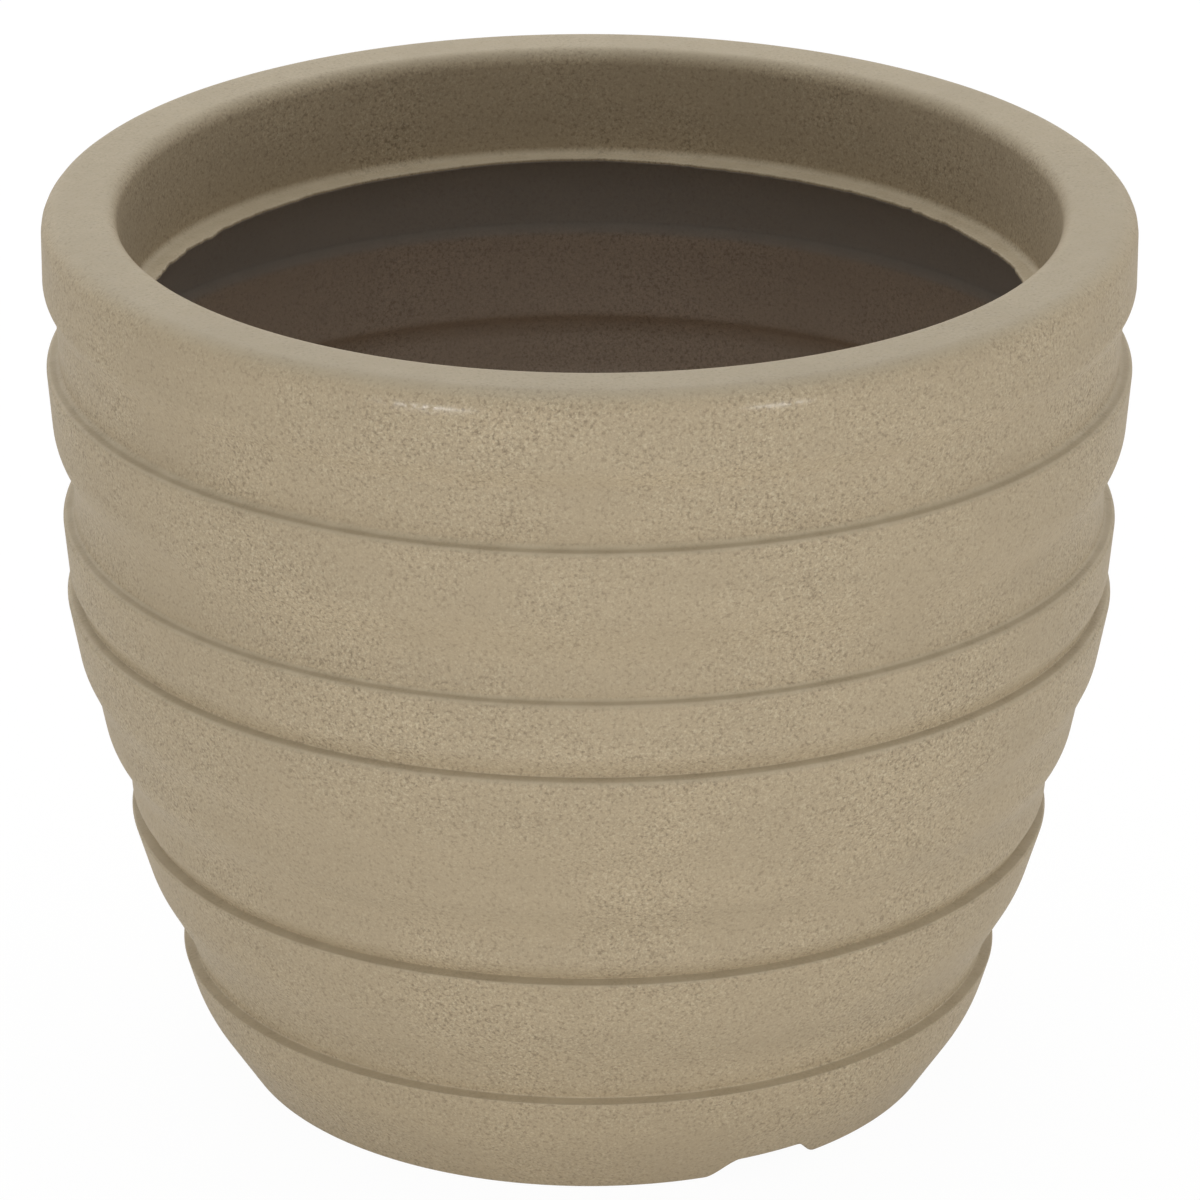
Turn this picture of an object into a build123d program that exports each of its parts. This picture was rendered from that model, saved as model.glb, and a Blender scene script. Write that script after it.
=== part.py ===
# Plastic flower pot, 400 mm across the rim and 337 mm tall: one hollow moulding whose wall is lapped in bands,
# and the rubber bung that closes the drain hole in its floor.
# Millimetres, +Z up. The origin is on the ground, under the middle of the foot. The foot's drain notches lie on Y.
from build123d import *
import os
from collections import namedtuple
from math import ceil, radians, tan

# Moulding: the mould's face is the pot's outside, and the plastic lies on it in an even coat
wall = 4
rim_radius = 200.4
rim_width = 27.4
rim_corner = 6
flat_length = 5

# Skirt: the wall turns down inside the mouth and ends in a thin ledge, left where the mould's lid was trimmed out
skirt_depth = 41
skirt_lean = 2.2
ledge_width = 8
ledge_thickness = 2

# Wall, from the rim down. The face of a band leans in, then rolls in to a neck, and the next band stands out again
# on a flat shelf. A band with no neck or shelf under it is only a soft step in the wall.
Band = namedtuple("Band", "face_drop face_lean roll_drop roll_in neck_drop neck_lean shelf")
bands = [
    Band(28.0, 0.0, 7.5, 4.2, 23.5, 1.7, 5.3),
    Band(27.0, 2.2, 14.0, 6.9, 17.5, 0.0, 4.4),
    Band(23.0, 2.0, 6.8, 3.3, 0.0, 0.0, 4.6),
    Band(25.5, 4.7, 12.0, 5.6, 0.0, 0.0, 0.0),
    Band(17.5, 3.5, 13.2, 8.0, 0.0, 0.0, 0.0),
    Band(12.5, 0.9, 7.6, 4.1, 0.0, 0.0, 4.6),
    Band(23.5, 7.0, 20.5, 11.8, 12.3, 4.2, 4.5),
    Band(18.2, 5.3, 26.9, 17.6, 0.0, 0.0, 0.0),
]
shoulder_corner = 1.6

# Foot: a ring that carries the pot, round a raised floor, with a notch at each end of Y that lets the water out
foot_width = 22
foot_lean = 4
foot_corner = 3
floor_rise = 14
notch_width = 46
notch_height = 8.3
notch_ramp = 7
notch_corner = 4

# Drain bung
drain_radius = 12
bung_clearance = 0.3
bung_reach = 8
bung_lead = 1.5
bung_shell = 2.5
flange_overlap = 6
flange_thickness = 3
flange_corner = 1
tab_width = 18
tab_height = 9
tab_thickness = 4
tab_corner = 3

height = sum(band.face_drop + band.roll_drop + band.neck_drop for band in bands)
ledge_height = height - skirt_depth
skirt_radius = rim_radius - rim_width - skirt_lean


def wall_corners(through_rolls=False):
    """Corners of the mould's face, from the bottom of the skirt over the rim and down the bands to the floor.

    Each is a radius, a height and the size of its rounding. The plastic's inner side is smoother than the mould's
    face, and runs straight through the corner above each roll.
    """
    corners = [
        (skirt_radius, ledge_height - ledge_thickness, 0),
        (skirt_radius + skirt_lean, height, rim_corner),
        (rim_radius, height, rim_corner),
    ]
    radius, level = rim_radius, height
    for band in bands:
        radius, level = radius - band.face_lean, level - band.face_drop
        if not through_rolls:
            corners.append((radius, level, 0))
        radius, level = radius - band.roll_in, level - band.roll_drop
        corners.append((radius, level, 0))
        if band.neck_drop:
            radius, level = radius - band.neck_lean, level - band.neck_drop
            corners.append((radius, level, 0))
        if band.shelf:
            radius += band.shelf
            corners.append((radius, level, shoulder_corner))
    corners[-1] = (radius, 0, foot_corner)
    return corners + [
        (radius - foot_width, 0, 0),
        (radius - foot_width - foot_lean, floor_rise, 0),
        (0, floor_rise, 0),
    ]


def flat_run(corners):
    """Points along the mould's face, with each rounding laid in as a few flats."""
    points = [Vector(radius, level) for radius, level, _ in corners]
    line = [points[0]]
    for before, here, after, corner in zip(points, points[1:], points[2:], corners[1:]):
        if not corner[2]:
            line.append(here)
            continue
        run_in, run_out = here - before, after - here
        leg = corner[2] * tan(radians(run_in.get_angle(run_out)) / 2)
        start, end = here - run_in.normalized() * leg, here + run_out.normalized() * leg
        arc = TangentArc(start, end, tangent=run_in, mode=Mode.PRIVATE)
        flats = ceil(arc.length / flat_length)
        line += [arc @ (i / flats) for i in range(flats + 1)]
    return line + [points[-1]]


def notch_outline(margin):
    """A foot notch seen along Y, with ramped ends, grown by a margin on every side but the ground."""
    half_width = notch_width / 2 + margin
    top = notch_height + margin
    half_top = half_width - notch_ramp
    FilletPolyline(
        (-half_width, 0), (-half_top, top), (half_top, top), (half_width, 0), radius=notch_corner
    )
    Line((-half_width, 0), (half_width, 0))


corners = wall_corners()
foot_radius = corners[-4][0]

# The notches are pressed up into the foot ring, so the plastic also runs over them, inside the ring's channel
with BuildPart() as notch_cover:
    with BuildSketch(Plane.XZ) as foot_section:
        with BuildLine():
            Polyline(*flat_run(corners[-5:-1]), close=True)
        make_face()
    revolve(axis=Axis.Z)
    with BuildSketch(Plane.XZ) as cover_section:
        with BuildLine() as cover_line:
            notch_outline(wall)
        make_face()
    extrude(amount=foot_radius * 2, both=True, mode=Mode.INTERSECT)

# The pot: the coat of plastic revolved, the notches with their cover, and the drain hole drilled after moulding
with BuildPart() as pot_shell:
    with BuildSketch(Plane.XZ) as wall_section:
        with BuildLine():
            mould_face = Polyline(*flat_run(corners))
            smooth_face = Polyline(*[corner[:2] for corner in wall_corners(through_rolls=True)], mode=Mode.PRIVATE)
            inside = offset(
                smooth_face, wall, kind=Kind.INTERSECTION, side=Side.RIGHT, closed=False, mode=Mode.ADD
            )
            Line(mould_face @ 0, inside @ 0)
            Line(mould_face @ 1, inside @ 1)
        make_face()
        with Locations((skirt_radius - ledge_width, ledge_height)):
            Rectangle(ledge_width + wall, ledge_thickness, align=(Align.MIN, Align.MAX))
    revolve(axis=Axis.Z)
    add(notch_cover.part)
    with BuildSketch(Plane.XZ) as notch_section:
        with BuildLine() as notch_line:
            notch_outline(0)
        make_face()
    extrude(amount=foot_radius * 2, both=True, mode=Mode.SUBTRACT)
    with Locations((0, 0, floor_rise + wall)):
        Hole(drain_radius, depth=wall)

# The bung: a flange that seats on the floor, a hollow plug with a lead-in at its tip, and a tab to pull it out by
floor_top = floor_rise + wall
flange_top = floor_top + flange_thickness
plug_radius = drain_radius - bung_clearance
plug_tip = floor_rise - bung_reach
with BuildPart() as drain_bung:
    with BuildSketch(Plane.XY.offset(floor_top)) as flange:
        Circle(drain_radius + flange_overlap)
    extrude(amount=flange_thickness)
    chamfer(drain_bung.edges().group_by(Axis.Z)[-1], length=flange_corner)
    with BuildSketch(Plane.XZ) as plug_section:
        with BuildLine() as plug_line:
            Polyline(
                (plug_radius, floor_top),
                (plug_radius, plug_tip + bung_lead),
                (plug_radius - bung_lead, plug_tip),
                (plug_radius - bung_shell, plug_tip),
                (plug_radius - bung_shell, floor_top),
                close=True,
            )
        make_face()
    revolve(axis=Axis.Z)
    with BuildSketch(Plane.XZ) as tab:
        with Locations((0, flange_top)):
            Rectangle(tab_width, tab_height, align=(Align.CENTER, Align.MIN))
        fillet(tab.vertices().group_by(Axis.Y)[-1], radius=tab_corner)
    extrude(amount=tab_thickness / 2, both=True)

os.makedirs("parts", exist_ok=True)
pot_shell.part.label = "pot_shell"
export_step(pot_shell.part, "parts/pot_shell.step")
drain_bung.part.label = "drain_bung"
export_step(drain_bung.part, "parts/drain_bung.step")
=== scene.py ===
from collections import namedtuple
from math import acos, atan, atan2, cos, pi, radians, sin, tan

import bpy
import numpy as np
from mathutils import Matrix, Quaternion, Vector


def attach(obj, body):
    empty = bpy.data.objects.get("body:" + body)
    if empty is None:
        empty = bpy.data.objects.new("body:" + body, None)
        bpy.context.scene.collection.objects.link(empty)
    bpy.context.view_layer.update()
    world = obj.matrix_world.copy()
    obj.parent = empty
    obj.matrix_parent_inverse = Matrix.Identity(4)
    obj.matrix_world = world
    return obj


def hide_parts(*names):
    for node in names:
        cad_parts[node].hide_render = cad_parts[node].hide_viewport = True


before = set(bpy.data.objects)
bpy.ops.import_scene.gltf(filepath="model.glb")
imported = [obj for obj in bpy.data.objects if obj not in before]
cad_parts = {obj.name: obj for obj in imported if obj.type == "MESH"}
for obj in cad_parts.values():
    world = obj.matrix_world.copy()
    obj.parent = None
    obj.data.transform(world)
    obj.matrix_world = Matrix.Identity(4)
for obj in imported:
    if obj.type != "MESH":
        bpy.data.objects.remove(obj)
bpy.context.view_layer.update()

# Pot shell. One hollow moulding of stone-effect plastic: powder melts on the inside of a turning mould and leaves an
# even coat, so the rim, the skirt in the mouth, the lapped bands and the foot are one skin. The ledge under the skirt
# is what was left when the mould's lid was trimmed out by hand.
WALL = 0.004
RIM_RADIUS, RIM_WIDTH, RIM_EDGE, RIM_INNER_EDGE = 0.2004, 0.0274, 0.008, 0.006
SKIRT_DEPTH, SKIRT_LEAN = 0.041, 0.0022
LEDGE_WIDTH, LEDGE_THICKNESS, LEDGE_CORNER, LEDGE_LIP = 0.008, 0.0018, 0.003, 0.00072
SHOULDER_CORNER, SHOULDER_FALL = 0.0020, 0.0004
CREVICE_CORNER, CREVICE_RISE = 0.0026, 0.0007
FOOT_WIDTH, FOOT_LEAN, FOOT_CORNER = 0.022, 0.004, 0.003
FLOOR_RISE, FLOOR_CORNER = 0.014, 0.005
DRAIN_RADIUS, DRAIN_CORNER = 0.012, 0.0006
NOTCH_HEIGHT, NOTCH_HALF_WIDTH, NOTCH_RAMP = 0.0077, 0.0235, 0.0118

# From the rim down: drop and lean of the face, drop and depth of the roll under it, their rounding, drop and lean of
# the neck, and the shelf on which the next band stands out. The numbers are millimetres.
Band = namedtuple("Band", "face_drop face_lean roll_drop roll_in rounding neck_drop neck_lean shelf")
BANDS = [Band(*(number / 1000 for number in numbers)) for numbers in (
    (28.0, 0.0, 7.5, 4.2, 9, 23.0, 1.7, 5.3),
    (27.5, 2.2, 14.0, 6.9, 28, 17.5, 0.0, 4.4),
    (21.5, 2.0, 6.0, 3.0, 8, 2.3, 0.3, 4.6),
    (25.5, 4.7, 12.0, 5.6, 24, 0.0, 0.0, 0.0),
    (17.5, 3.5, 13.2, 8.0, 24, 0.0, 0.0, 0.0),
    (12.5, 0.9, 6.1, 3.6, 10, 1.5, 0.5, 4.6),
    (23.5, 7.0, 20.5, 11.8, 45, 12.3, 4.2, 4.5),
    (18.2, 5.3, 26.9, 17.6, 60, 0.0, 0.0, 0.0),
)]
HEIGHT = sum(band.face_drop + band.roll_drop + band.neck_drop for band in BANDS)

# A corner of the section: how its point moves out and up where a foot notch is pressed in, whether it is the trimmed
# edge of the ledge, and whether it lies on the inner side of the coat.
Corner = namedtuple("Corner", "radius level rounding moves_out moves_up trimmed inner", defaults=(0, 0, 0, 0))


def wall_corners(rise=0.0, fall=0.0):
    """Corners of the mould's face from the rim's outer edge down to the foot.

    A shelf slopes from its crevice, which lies that much higher, to its shoulder, which lies that much lower.
    """
    radius, level = RIM_RADIUS, HEIGHT
    corners = [Corner(radius, level, RIM_EDGE)]
    for band in BANDS:
        radius, level = radius - band.face_lean, level - band.face_drop
        corners.append(Corner(radius, level, band.rounding))
        radius, level = radius - band.roll_in, level - band.roll_drop
        if band.neck_drop:
            corners.append(Corner(radius, level, band.rounding))
            radius, level = radius - band.neck_lean, level - band.neck_drop
        if band.shelf:
            corners.append(Corner(radius, level + rise, CREVICE_CORNER))
            radius += band.shelf
            corners.append(Corner(radius, level - fall, SHOULDER_CORNER))
        else:
            corners.append(Corner(radius, level, band.rounding))
    corners[-1] = Corner(radius, 0, FOOT_CORNER)
    return corners


def coat_behind(corners, depth):
    """The line that lies behind a mould's face at an even depth, as the inner side of a coat of plastic."""
    at = np.array([corner[:2] for corner in corners])
    ways = np.diff(at, axis=0)
    ways /= np.linalg.norm(ways, axis=1)[:, None]
    sides = np.stack((ways[:, 1], -ways[:, 0]), 1)
    moved = [at[0] + sides[0] * depth]
    for before, after, here in zip(sides, sides[1:], at[1:]):
        moved.append(here + (before + after) * depth / (1 + before @ after))
    moved.append(at[-1] + sides[-1] * depth)
    return np.array(moved)


def coat_shift(lean):
    """How far in from the foot's edge the coat turns a corner, where the side leans by that much of its height."""
    return WALL * (1 - sin(atan(lean))) / cos(atan(lean))


ARC_STEPS, ARC_SHARE, RUN_STEP, TINY = 6, 0.97, 0.006, 1e-9


def corner_arc(before, here, after):
    """Points round a corner. It shares the runs beside it with its neighbours, by the sizes of their roundings."""
    at = np.array(here[:2])
    runs = [np.array(beside[:2]) - at for beside in (before, after)]
    lengths = [np.linalg.norm(run) for run in runs]
    room = ARC_SHARE * min(
        length * here.rounding / (here.rounding + beside.rounding + TINY)
        for length, beside in zip(lengths, (before, after))
    )
    to_before, to_after = (run / length for run, length in zip(runs, lengths))
    half = acos(np.clip(to_before @ to_after, -1, 1)) / 2
    leg = min(here.rounding / tan(half), room)
    if leg < TINY:
        return at[None]
    middle = to_before + to_after
    centre = at + middle / np.linalg.norm(middle) * leg / cos(half)
    start, end = at + to_before * leg - centre, at + to_after * leg - centre
    turn = pi - 2 * half
    share = np.linspace(0, 1, ARC_STEPS + 1)[:, None]
    return centre + (np.sin((1 - share) * turn) * start + np.sin(share * turn) * end) / sin(turn)


def rounded(corners):
    """A closed line through the corners as rows: radius, level and the values after a corner's rounding."""
    arcs = [
        corner_arc(before, here, after)
        for before, here, after in zip(corners[-1:] + corners, corners, corners[1:] + corners[:1])
    ]
    values = np.array([corner[3:] for corner in corners], float)
    rows = []
    for i, arc in enumerate(arcs):
        following = (i + 1) % len(arcs)
        rows += [(*point, *values[i]) for point in arc]
        gap = arcs[following][0] - arc[-1]
        steps = max(1, int(np.ceil(np.linalg.norm(gap) / RUN_STEP)))
        for share in np.arange(1, steps) / steps:
            rows.append((*(arc[-1] + gap * share), *(values[i] * (1 - share) + values[following] * share)))
    return np.array(rows)


ledge_level = HEIGHT - SKIRT_DEPTH
skirt_radius = RIM_RADIUS - RIM_WIDTH - SKIRT_LEAN
outside = wall_corners(CREVICE_RISE, SHOULDER_FALL)
flank_top, foot_edge = outside[-2:]
flank = (flank_top.radius - foot_edge.radius) / flank_top.level
hollow = FOOT_LEAN / FLOOR_RISE
ring_radius = foot_edge.radius - FOOT_WIDTH
mould_side = [
    Corner(DRAIN_RADIUS, FLOOR_RISE, DRAIN_CORNER),
    Corner(ring_radius - FOOT_LEAN, FLOOR_RISE, FLOOR_CORNER),
    Corner(ring_radius, 0, FOOT_CORNER, moves_out=-hollow, moves_up=1),
    Corner(foot_edge.radius, 0, FOOT_CORNER, moves_out=flank, moves_up=1),
    *outside[-2::-1],
    Corner(skirt_radius + SKIRT_LEAN, HEIGHT, RIM_INNER_EDGE),
    Corner(skirt_radius, ledge_level, LEDGE_CORNER),
    Corner(skirt_radius - LEDGE_WIDTH, ledge_level, LEDGE_LIP, trimmed=1),
]

# The coat's inner side follows the mould's face and swells softly over the shelves. Over the upper bands it runs on
# through these heights and radii, in millimetres.
INNER_STEPS = ((296.0, 190.3), (259.2, 190.2), (258.4, 187.4), (222.0, 186.6), (220.6, 189.8), (214.5, 190.8))
SWELL_STEP, SWELL_STEPS, COAT_STEP = 0.0005, 5, 0.0018
RIM_COAT_CORNER, RIM_COAT_DEPTH, SKIRT_COAT_CORNER = 0.004, 0.012, 0.001
FOOT_COAT_CORNER, RING_COAT_CORNER, FLOOR_COAT_CORNER, FLANK_GAP = 0.006, 0.004, 0.003, 0.001
inner_line = coat_behind(wall_corners(), WALL)[::-1]
levels = np.arange(0, HEIGHT, SWELL_STEP)
inner_radii = np.interp(levels, inner_line[:, 1], inner_line[:, 0])
step_levels, step_radii = np.array(INNER_STEPS[::-1]).T / 1000
upper = (levels > step_levels[0]) & (levels < step_levels[-1])
inner_radii[upper] = np.interp(levels[upper], step_levels, step_radii)
spread = np.exp(-np.linspace(-3, 3, 2 * SWELL_STEPS + 1) ** 2 / 2)
swell = np.convolve(np.pad(inner_radii, SWELL_STEPS, "edge"), spread / spread.sum(), "valid")
coat_side = [
    Corner(skirt_radius - LEDGE_WIDTH, ledge_level - LEDGE_THICKNESS, LEDGE_LIP, trimmed=1),
    Corner(skirt_radius + WALL, ledge_level - LEDGE_THICKNESS, SKIRT_COAT_CORNER),
    Corner(skirt_radius + SKIRT_LEAN + WALL, HEIGHT - WALL, RIM_COAT_CORNER),
    Corner(RIM_RADIUS - WALL, HEIGHT - WALL, RIM_COAT_CORNER),
    *(
        Corner(np.interp(level, levels, swell), level, 0)
        for level in np.arange(HEIGHT - WALL - RIM_COAT_DEPTH, flank_top.level + FLANK_GAP, -COAT_STEP)
    ),
    Corner(foot_edge.radius - coat_shift(flank), WALL, FOOT_COAT_CORNER, moves_out=flank, moves_up=1),
    Corner(ring_radius + coat_shift(hollow), WALL, RING_COAT_CORNER, moves_out=-hollow, moves_up=1),
    Corner(ring_radius - FOOT_LEAN + coat_shift(hollow), FLOOR_RISE + WALL, FLOOR_COAT_CORNER),
    Corner(DRAIN_RADIUS, FLOOR_RISE + WALL, DRAIN_CORNER),
]
rows = rounded(mould_side + [corner._replace(inner=1) for corner in coat_side])

# Round the pot, in degrees and millimetres: how wide the ledge was left when the lid was trimmed out. The knife left
# waves, a rough edge and chips on it.
LEDGE_TRIMS = (
    (-3, 7.5), (15, 7.7), (27, 9.4), (45, 8.3), (60, 6.0), (85, 7.6),
    (109, 9.4), (128, 8.2), (170, 7.4), (215, 8.6), (260, 7.2), (310, 8.6),
)
KNIFE_WAVES = ((9, 0.0004), (17, 0.0002), (41, 0.00012))
EDGE_ROUGHNESS, CHIPS, CHIP_DEPTHS, CHIP_SPANS = 0.00036, 26, (0.0002, 0.0009), (0.006, 0.02)
EDGE_SMOOTHING = (0.25, 0.5, 0.25)


def trimmed_back(angles):
    """How far the ledge's edge lies back from its full width at each angle. It is rougher on some sides."""
    draw = np.random.default_rng(7)
    turns, widths = np.array(LEDGE_TRIMS).T
    back = LEDGE_WIDTH - np.interp(angles, np.radians(turns), widths / 1000, period=2 * pi)
    for waves, depth in KNIFE_WAVES:
        back = back + depth * np.sin(angles * waves + draw.uniform(0, 2 * pi))
    rough = np.convolve(draw.normal(0, EDGE_ROUGHNESS, len(angles) + 2), EDGE_SMOOTHING, "valid")
    back = back + rough * (0.65 + 0.5 * np.sin(3 * angles + 1.0))
    for chip in draw.uniform(0, 2 * pi, CHIPS):
        away = np.abs((angles - chip + pi) % (2 * pi) - pi)
        back = back + draw.uniform(*CHIP_DEPTHS) * np.clip(1 - away / draw.uniform(*CHIP_SPANS), 0, 1)
    return back


COLUMNS = 720
angles = np.arange(COLUMNS) * 2 * pi / COLUMNS
around, along = np.cos(angles), np.sin(angles)
radius, level, moves_out, moves_up, trimmed, inner = (values[:, None] for values in rows.T)
radius = radius + trimmed * trimmed_back(angles)
in_notch = np.clip((NOTCH_HALF_WIDTH + WALL * inner - np.abs(radius * around)) / NOTCH_RAMP, 0, 1)
pressed = NOTCH_HEIGHT * in_notch ** 2 * (3 - 2 * in_notch)
radius, level = radius + moves_out * pressed, level + moves_up * pressed
points = np.stack((radius * around, radius * along, level), -1)
row, column = np.meshgrid(np.arange(len(rows)), np.arange(COLUMNS), indexing="ij")
next_row, next_column = (row + 1) % len(rows), (column + 1) % COLUMNS
faces = np.stack([
    over * COLUMNS + beside
    for over, beside in ((row, column), (row, next_column), (next_row, next_column), (next_row, column))
], -1)
shell_mesh = bpy.data.meshes.new("pot_shell_skin")
shell_mesh.from_pydata(points.reshape(-1, 3).tolist(), [], faces.reshape(-1, 4).tolist())
shell_mesh.polygons.foreach_set("use_smooth", [True] * len(shell_mesh.polygons))
inner_rows = rows[:, -1] + np.roll(rows[:, -1], -1) > 1.5
shell_mesh.polygons.foreach_set("material_index", np.repeat(inner_rows, COLUMNS).astype(int).tolist())
shell = bpy.data.objects.new("pot_shell_skin", shell_mesh)
bpy.context.scene.collection.objects.link(shell)
even_faces = shell.modifiers.new("even_faces", "WEIGHTED_NORMAL")
even_faces.weight = 100


class Value:
    """A socket in a material's nodes. Sums, differences and products of values and numbers add Math nodes."""

    def __init__(self, tree, socket=None):
        self.tree, self.socket = tree, socket

    def node(self, kind, settings=(), sockets=(), output=0):
        """A new node of a kind. Its settings are set first, then its sockets are given values or linked."""
        made = self.tree.nodes.new(kind)
        for name, setting in dict(settings).items():
            setattr(made, name, setting)
        for name, given in dict(sockets).items():
            if isinstance(given, Value):
                self.tree.links.new(given.socket, made.inputs[name])
            else:
                made.inputs[name].default_value = given
        return Value(self.tree, made.outputs[output]) if made.outputs else None

    def math(self, operation, *values):
        return self.node("ShaderNodeMath", {"operation": operation}, dict(enumerate(values)))

    def __add__(self, other):
        return self.math("ADD", self, other)

    def __sub__(self, other):
        return self.math("SUBTRACT", self, other)

    def __rsub__(self, other):
        return self.math("SUBTRACT", other, self)

    def __mul__(self, other):
        return self.math("MULTIPLY", self, other)

    __radd__, __rmul__ = __add__, __mul__


def linear(red, green, blue):
    """A colour as it is seen, 0 to 255, in the linear values that a shader takes."""
    seen = np.array((red, green, blue)) / 255
    return (*np.where(seen <= 0.04045, seen / 12.92, ((seen + 0.055) / 1.055) ** 2.4).tolist(), 1)


def new_material(name):
    """An empty material and a value to start its nodes from."""
    material = bpy.data.materials.new(name)
    material.use_nodes = True
    material.node_tree.nodes.clear()
    return material, Value(material.node_tree)


def mixed(share, first, second):
    """Two colours mixed by a share from 0 to 1."""
    settings = {"data_type": "RGBA", "clamp_factor": True}
    return share.node("ShaderNodeMix", settings, {0: share, 6: first, 7: second}, output=2)


def noise(place, cells, detail):
    """Noise of about that many cells a metre."""
    return place.node("ShaderNodeTexNoise", {}, {"Vector": place, "Scale": cells, "Detail": detail})


def ramped(value, start, end):
    """0 where the value is at the start, rising to 1 at the end."""
    return value.node("ShaderNodeMapRange", {}, {"Value": value, "From Min": start, "From Max": end})


def upward(vector):
    """How high a place lies, or how far a direction points up."""
    return vector.node("ShaderNodeSeparateXYZ", {}, {"Vector": vector}, output=2)


def drawn_out(vector, *amounts):
    """A place or a distance, multiplied along each axis."""
    return vector.node("ShaderNodeVectorMath", {"operation": "MULTIPLY"}, {0: vector, 1: amounts})


# The powder's grains and the skin they make, in cells a metre. Dust, which is partly painted light, settles in
# blotches, and wear is broken up too.
CLOUD_CELLS, PATCH_CELLS, DUST_AND_LIGHT_CELLS, SKIN_CELLS, WEAR_CELLS = 16.0, 17.0, 90.0, 260.0, 420.0
DARK_GRAIN_CELLS, LIGHT_GRAIN_CELLS, FINE_GRAIN_CELLS = 780.0, 980.0, 1500.0
UPPER_TONE_BLEND = 0.002
DUST_AND_LIGHT_TOP, DUST_AND_LIGHT_BOTTOM = 0.36, 0.28
POLISH_LEVEL, POLISH_FLATNESS, POLISH_SMOOTHING, POLISH_COAT = 0.3302, 7, 0.36, 0.6


def stone_plastic(name, ground, dark, light, dust_and_painted_light, upper_tone, upper_tone_above, roughness, relief, polished=()):
    """Plastic with dark and light grains and a fine moulded skin, and fewer grains and another tone above a level.

    Dust, which is partly painted light, lies on what faces up, more of it lower down, and lightens the shade on the
    shelves.
    The polished spots are places on the rim's edge, each an angle and half a length.
    """
    material, start = new_material(name)
    place = start.node("ShaderNodeTexCoord", output="Object")
    level, facing_up = upward(place), upward(start.node("ShaderNodeTexCoord", output="Normal"))
    cloud = noise(drawn_out(place, 1, 1, 5), CLOUD_CELLS, 3.0)
    skin, fine_grain = noise(place, SKIN_CELLS, 3.0), noise(place, FINE_GRAIN_CELLS, 1.0)
    dark_grain, light_grain = noise(place, DARK_GRAIN_CELLS, 1.0), noise(place, LIGHT_GRAIN_CELLS, 1.0)

    upper_share = ramped(level, upper_tone_above - UPPER_TONE_BLEND, upper_tone_above + UPPER_TONE_BLEND)
    amount = ramped(noise(place, PATCH_CELLS, 2.0), 0.36, 0.64) * 0.65 + 0.35
    amount = amount * (1.0 - upper_share * 0.7)
    mottle = ((fine_grain - 0.5) * 1.2 + (dark_grain - 0.5) * 0.8) * amount
    shade = (mottle + (cloud - 0.5) * 0.25) * 0.6 + 1.0
    # Above the level the tone changes too. On the inner side this darker, greyer tone is painted shade under the
    # ledge.
    base_tone = mixed(upper_share, ground, upper_tone)
    tone = place.node("ShaderNodeVectorMath", {"operation": "SCALE"}, {0: base_tone, "Scale": shade})
    dark_share = ramped(dark_grain, 0.44, 0.34) * amount * 0.34 + ramped(dark_grain, 0.35, 0.31) * 0.12
    light_share = ramped(light_grain, 0.56, 0.67) * amount * 0.4
    tone = mixed(light_share, mixed(dark_share, tone, dark), light)
    # Dust on what faces up, more of it lower down. It is partly painted light: its pale tone lightens the shade on
    # the shelves.
    dust_and_light_patches = ramped(noise(place, DUST_AND_LIGHT_CELLS, 3.0), 0.35, 0.65) * 0.3 + 0.5
    tone = mixed(ramped(facing_up, 0.3, 0.9) * ramped(level, DUST_AND_LIGHT_TOP, DUST_AND_LIGHT_BOTTOM) * dust_and_light_patches, tone, dust_and_painted_light)

    worn, gloss = ramped(noise(place, WEAR_CELLS, 2.0), 0.36, 0.50), 0.0
    for turn, half_length in polished:
        middle = (RIM_RADIUS * cos(radians(turn)), RIM_RADIUS * sin(radians(turn)), POLISH_LEVEL)
        away = place.node("ShaderNodeVectorMath", {"operation": "SUBTRACT"}, {0: place, 1: middle})
        away = drawn_out(away, 1, 1, POLISH_FLATNESS)
        away = place.node("ShaderNodeVectorMath", {"operation": "LENGTH"}, {0: away}, output="Value")
        gloss = ramped(away, half_length, half_length * 0.4) * worn + gloss

    rubbed = (skin - 0.5) * 0.25 + (fine_grain - 0.5) * 0.15 + roughness - gloss * POLISH_SMOOTHING
    shader = place.node("ShaderNodeBsdfPrincipled", {}, {
        "Base Color": tone, "Roughness": rubbed, "IOR": 1.45, "Specular IOR Level": 0.4,
        "Coat Weight": gloss * POLISH_COAT, "Coat Roughness": 0.28,
        "Normal": place.node("ShaderNodeBump", {}, {
            "Strength": 0.25, "Distance": relief, "Height": skin * 0.6 + fine_grain * 0.4,
        }),
    })
    shader.node("ShaderNodeOutputMaterial", {}, {"Surface": shader})
    return material


shell_mesh.materials.append(stone_plastic(
    "pot_face", ground=linear(170, 154, 127), dark=linear(108, 91, 68), light=linear(210, 198, 168),
    dust_and_painted_light=linear(200, 187, 161), upper_tone=linear(171, 158, 134), upper_tone_above=0.3358, roughness=0.64, relief=0.0002,
    polished=((-136.0, 0.022), (-100.4, 0.016)),
))
# The inner side's darker, greyer tone above its level is painted shade under the ledge, and it has fewer grains
# there.
shell_mesh.materials.append(stone_plastic(
    "pot_inner_side", ground=linear(178, 162, 146), dark=linear(140, 126, 110), light=linear(192, 178, 162),
    dust_and_painted_light=linear(205, 196, 184), upper_tone=linear(160, 153, 145), upper_tone_above=0.2578, roughness=0.7, relief=0.0004,
))
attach(shell, "pot")
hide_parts("pot_shell")

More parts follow.
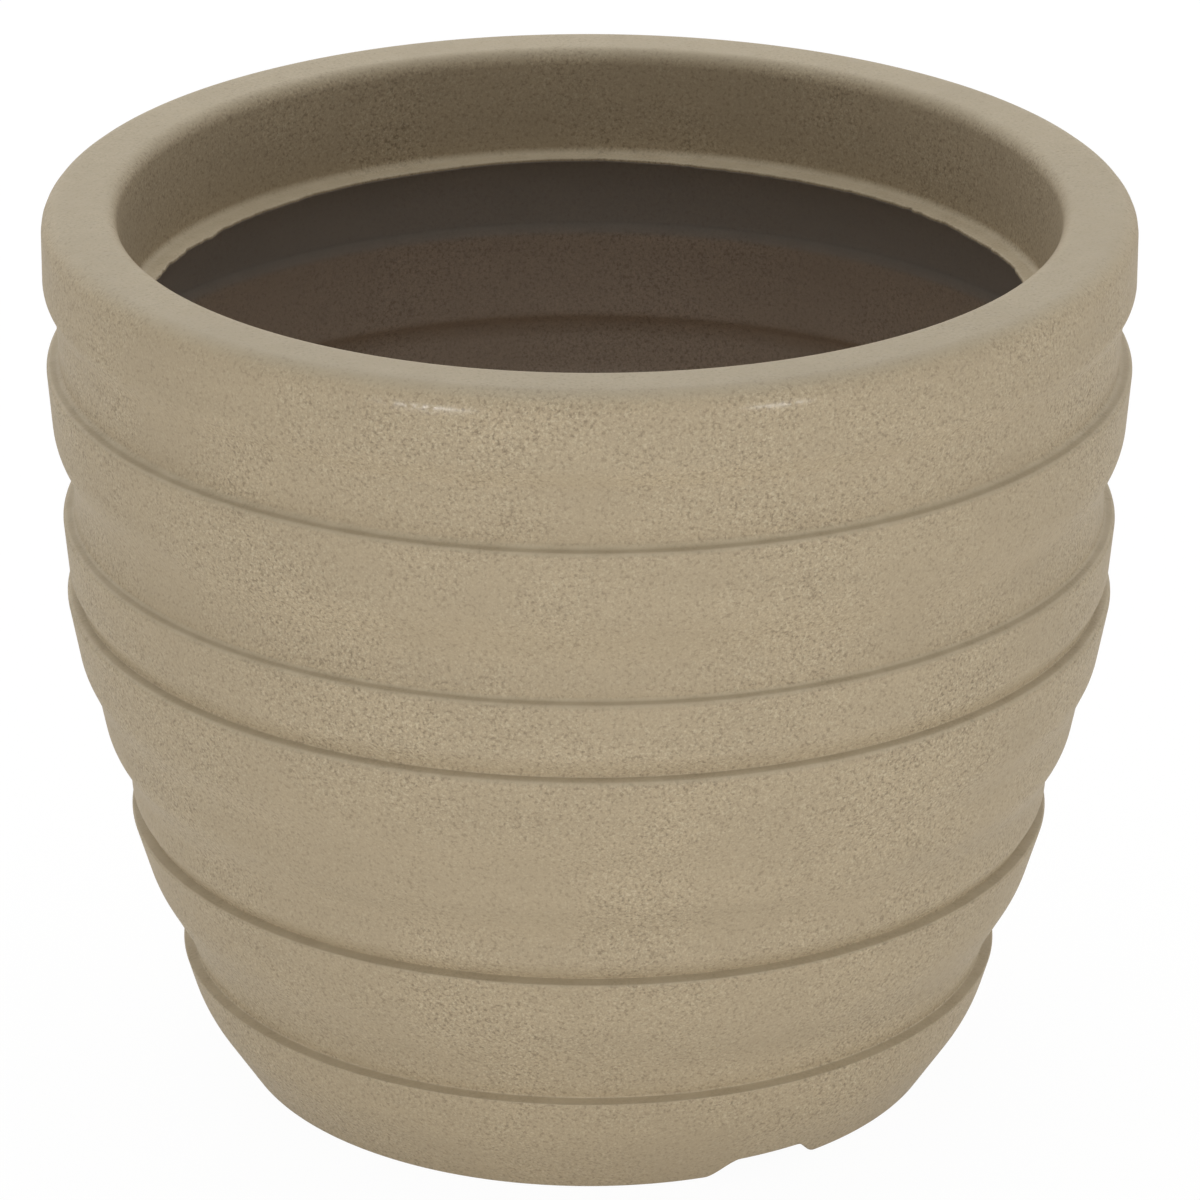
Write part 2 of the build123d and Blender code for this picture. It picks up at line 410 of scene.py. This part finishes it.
# Drain bung. A moulded rubber plug, pushed into the drain hole from above, with a tab to pull it out by. Rubber comes
# from its mould with soft edges and fine pores, and a pale bloom grows on it.
BLOOM_CELLS, PORE_CELLS, PORE_DEPTH, SOFT_EDGE = 160.0, 1400.0, 0.0001, 0.0006
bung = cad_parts["drain_bung"]
rubber, start = new_material("bung_rubber_skin")
place = start.node("ShaderNodeTexCoord", output="Object")
bloom, pores = noise(place, BLOOM_CELLS, 4.0), noise(place, PORE_CELLS, 2.0)
shader = place.node("ShaderNodeBsdfPrincipled", {}, {
    "Base Color": mixed(bloom, linear(38, 38, 39), linear(62, 60, 58)),
    "Roughness": (bloom - 0.5) * 0.3 + 0.62,
    "Normal": place.node("ShaderNodeBump", {}, {"Strength": 0.3, "Distance": PORE_DEPTH, "Height": pores}),
})
shader.node("ShaderNodeOutputMaterial", {}, {"Surface": shader})
for material_slot in bung.material_slots:
    material_slot.material = rubber
soft_edge = bung.modifiers.new("soft_edge", "BEVEL")
soft_edge.width, soft_edge.segments, soft_edge.limit_method = SOFT_EDGE, 3, "ANGLE"

# Floor. A plain pale sheet that the pot stands on, a hair under the foot so that the two faces don't share a plane.
# It shows nearly white to the camera and in gloss, and the part that doesn't keeps the pot's shadow.
FLOOR_REACH, FLOOR_LEVEL = 40, -0.0002
WHITE_SEEN, WHITE_IN_GLOSS, WHITE = 0.95, 0.89, 1.015
floor_mesh = bpy.data.meshes.new("floor")
floor_mesh.from_pydata([
    (across * FLOOR_REACH, deep * FLOOR_REACH, FLOOR_LEVEL) for across, deep in ((-1, -1), (1, -1), (1, 1), (-1, 1))
], [], [(0, 1, 2, 3)])
floor = bpy.data.objects.new("floor", floor_mesh)
bpy.context.scene.collection.objects.link(floor)
pale_floor, start = new_material("pale_floor")
to_camera = start.node("ShaderNodeLightPath", output="Is Camera Ray")
to_gloss = start.node("ShaderNodeLightPath", output="Is Glossy Ray")
sheet = start.node("ShaderNodeBsdfDiffuse", {}, {"Color": linear(235, 235, 235)})
white = start.node("ShaderNodeEmission", {}, {"Color": (1, 1, 1, 1), "Strength": WHITE})
white_share = to_camera * WHITE_SEEN + to_gloss * WHITE_IN_GLOSS
surface = start.node("ShaderNodeMixShader", {}, {0: white_share, 1: sheet, 2: white})
surface.node("ShaderNodeOutputMaterial", {}, {"Surface": surface})
floor_mesh.materials.append(pale_floor)

# Camera. It stands where the photograph was taken from, turned from the notches' line, and looks down on the pot
# from about 22 degrees above the horizon.
VIEW_TURN, VIEW_ROLL = Quaternion((0, 0, 1), radians(-29.6)), Quaternion((0, 0, 1), radians(0.15))
VIEW_SIDE, VIEW_BACK, VIEW_LEVEL, AIM_LEVEL = 0.0041, 2.5913, 1.2541, 0.1788
camera = bpy.data.objects.new("camera", bpy.data.cameras.new("camera"))
bpy.context.scene.collection.objects.link(camera)
camera.location = VIEW_TURN @ Vector((VIEW_SIDE, -VIEW_BACK, VIEW_LEVEL))
aim = VIEW_TURN @ Vector((VIEW_SIDE, 0, AIM_LEVEL))
camera.rotation_mode = "QUATERNION"
camera.rotation_quaternion = (aim - camera.location).to_track_quat("-Z", "Y") @ VIEW_ROLL
camera.data.lens = 225.3
bpy.context.scene.camera = camera

# Light. A dim even sky, which is white only where the camera sees it, and large soft boxes round the pot: low ones in
# front, whose narrow neighbours make the glints on the rim, higher ones behind, and one overhead.
SKY = 0.29
SOFT_BOXES = (
    # name, degrees round from the camera, distance, level, width, height, watts
    ("front_low", 0, 2.2, 0.13, 2.4, 0.26, 13.8),
    ("strip_left", -31, 2.2, 0.13, 0.6, 0.26, 4.8),
    ("strip_right", 37, 2.2, 0.13, 0.45, 0.26, 4.2),
    ("left", -75, 2.0, 0.3, 1.6, 0.6, 4.0),
    ("right", 75, 2.0, 0.3, 1.6, 0.6, 6.4),
    ("left_back", -135, 2.0, 1.0, 1.6, 1.4, 10.6),
    ("right_back", 135, 2.0, 1.0, 1.6, 1.4, 7.0),
    ("back_high", 180, 2.0, 1.7, 2.2, 1.4, 18.4),
    ("top", 0, 0.1, 2.4, 1.6, 1.6, 15.2),
)
world = bpy.data.worlds.new("studio")
bpy.context.scene.world = world
world.use_nodes = True
world.node_tree.nodes.clear()
start = Value(world.node_tree)
strength = start.node("ShaderNodeLightPath", output="Is Camera Ray") * (1 - SKY) + SKY
sky = start.node("ShaderNodeBackground", {}, {"Color": (1, 1, 1, 1), "Strength": strength})
sky.node("ShaderNodeOutputWorld", {}, {"Surface": sky})
pot_middle = Vector((0, 0, 0.17))
camera_side = atan2(camera.location.y, camera.location.x)
for name, turn, distance, level, width, tall, power in SOFT_BOXES:
    box = bpy.data.lights.new(name, "AREA")
    box.shape, box.size, box.size_y, box.energy = "RECTANGLE", width, tall, power
    lamp = bpy.data.objects.new(name, box)
    bpy.context.scene.collection.objects.link(lamp)
    facing = camera_side + radians(turn)
    lamp.location = (distance * cos(facing), distance * sin(facing), level)
    lamp.rotation_euler = (pot_middle - lamp.location).to_track_quat("-Z", "Y").to_euler()
    lamp.visible_camera = False

bpy.context.scene.view_settings.view_transform = "Standard"
